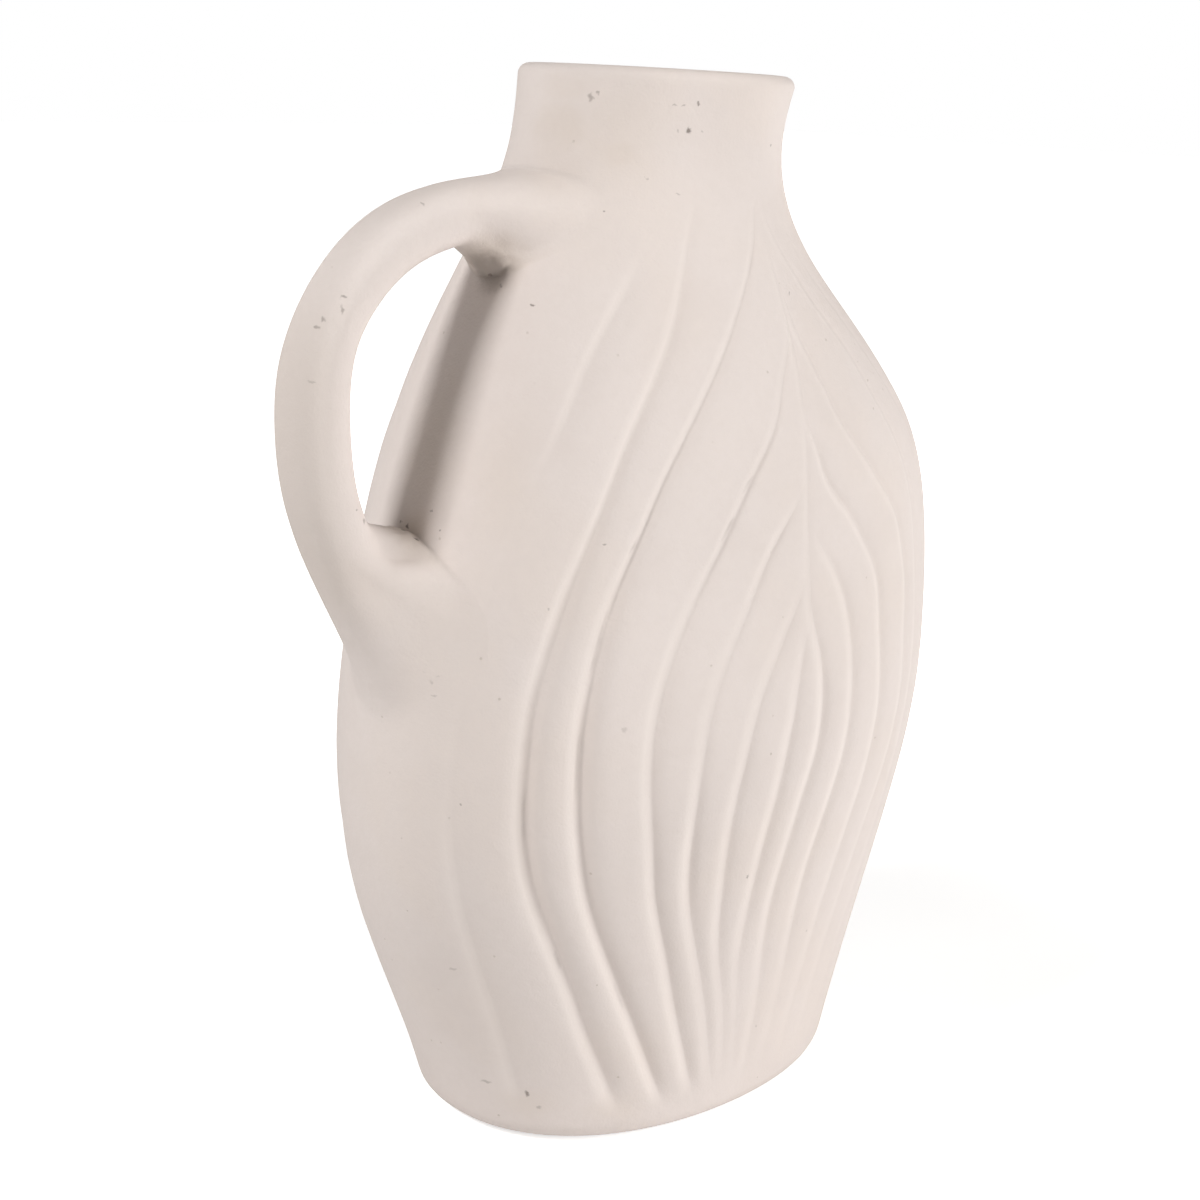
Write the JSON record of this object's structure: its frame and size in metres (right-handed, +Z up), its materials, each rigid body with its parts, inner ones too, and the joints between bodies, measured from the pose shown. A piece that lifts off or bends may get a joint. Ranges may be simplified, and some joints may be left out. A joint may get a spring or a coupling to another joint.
{
  "type": "vase",
  "caption": "Tall flattened bisque vase with a short flared neck, a strap handle on its narrow side and a leaf of curved ribs carved into its broad faces.",
  "frame": {"origin": "centre of the foot, on the surface that the vase stands on", "axes": "+Z up to the mouth, -X to the handle, -Y to the carved face that the picture shows"},
  "size_m": [0.2274, 0.138, 0.301],
  "materials": {
    "body": "matt",
    "neck": "matt",
    "handle": "matt",
    "foot": "matt",
    "inside": "matt"
  },
  "bodies": {
    "root": {"base_slab": "foot", "base_coil": "inside", "front_wall": "body", "back_wall": "body", "seam_coil_left": "inside", "seam_coil_right": "inside", "neck_collar": "neck", "rim_coil": "neck", "handle": "handle", "handle_upper_lute": "handle", "handle_lower_lute": "handle"}
  },
  "joints": []
}
